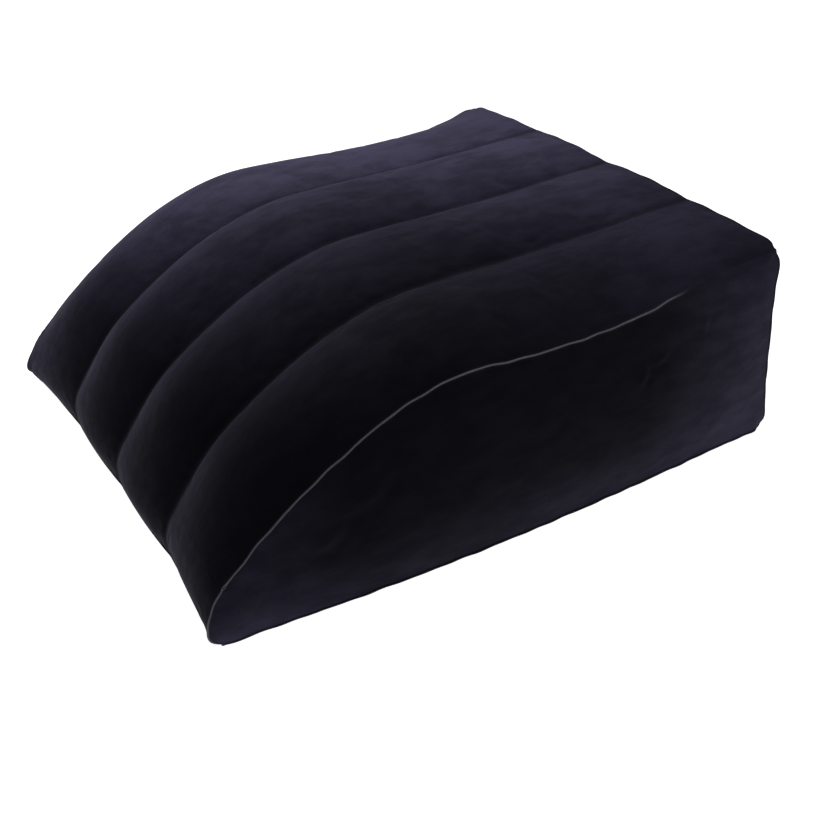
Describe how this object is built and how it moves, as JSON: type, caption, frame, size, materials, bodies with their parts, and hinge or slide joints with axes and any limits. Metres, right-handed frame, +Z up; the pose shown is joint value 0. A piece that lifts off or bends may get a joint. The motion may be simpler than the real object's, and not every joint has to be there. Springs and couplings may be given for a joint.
{
  "type": "inflatable wedge cushion",
  "caption": "Inflatable flocked wedge cushion with lengthwise air tubes, a low rounded nose and a tall end, for the lower back or the legs.",
  "frame": {"origin": "on the floor under the middle of the cushion", "axes": "+X from the low nose to the tall rear, +Y across the width to the left side with the valve, +Z up"},
  "size_m": [0.6238, 0.5269, 0.2242],
  "materials": {
    "flocked_pvc": "flocked velvet",
    "pvc_film": "satin film",
    "valve_vinyl": "moulded satin"
  },
  "bodies": {
    "cushion": {"top_panel": "flocked_pvc", "side_panel_left": "flocked_pvc", "side_panel_right": "flocked_pvc", "rear_panel": "flocked_pvc", "bottom_panel": "pvc_film", "web_left": "pvc_film", "web_centre": "pvc_film", "web_right": "pvc_film", "top_tape_left": "pvc_film", "top_tape_centre": "pvc_film", "top_tape_right": "pvc_film", "bottom_tape_left": "pvc_film", "bottom_tape_centre": "pvc_film", "bottom_tape_right": "pvc_film", "valve_collar": "valve_vinyl", "plug_tether": "valve_vinyl"},
    "plug": {"deflation_plug": "valve_vinyl", "cap_tether": "valve_vinyl"},
    "cap": {"inflation_cap": "valve_vinyl"},
    "flap": {"check_flap": "valve_vinyl"}
  },
  "joints": [
    {"name": "plug_hinge", "type": "hinge", "parent": "cushion", "child": "plug", "pos_m": [0.3028, 0.15, 0.104], "axis": [0, -1, 0], "range_deg": [0, 100]},
    {"name": "cap_hinge", "type": "hinge", "parent": "plug", "child": "cap", "pos_m": [0.3088, 0.15, 0.0918], "axis": [0, -1, 0], "range_deg": [0, 110]},
    {"name": "flap_hinge", "type": "hinge", "parent": "plug", "child": "flap", "pos_m": [0.2928, 0.15, 0.0872], "axis": [0, 1, 0], "range_deg": [0, 60], "stiffness_Nm_per_rad": 0.0002}
  ]
}
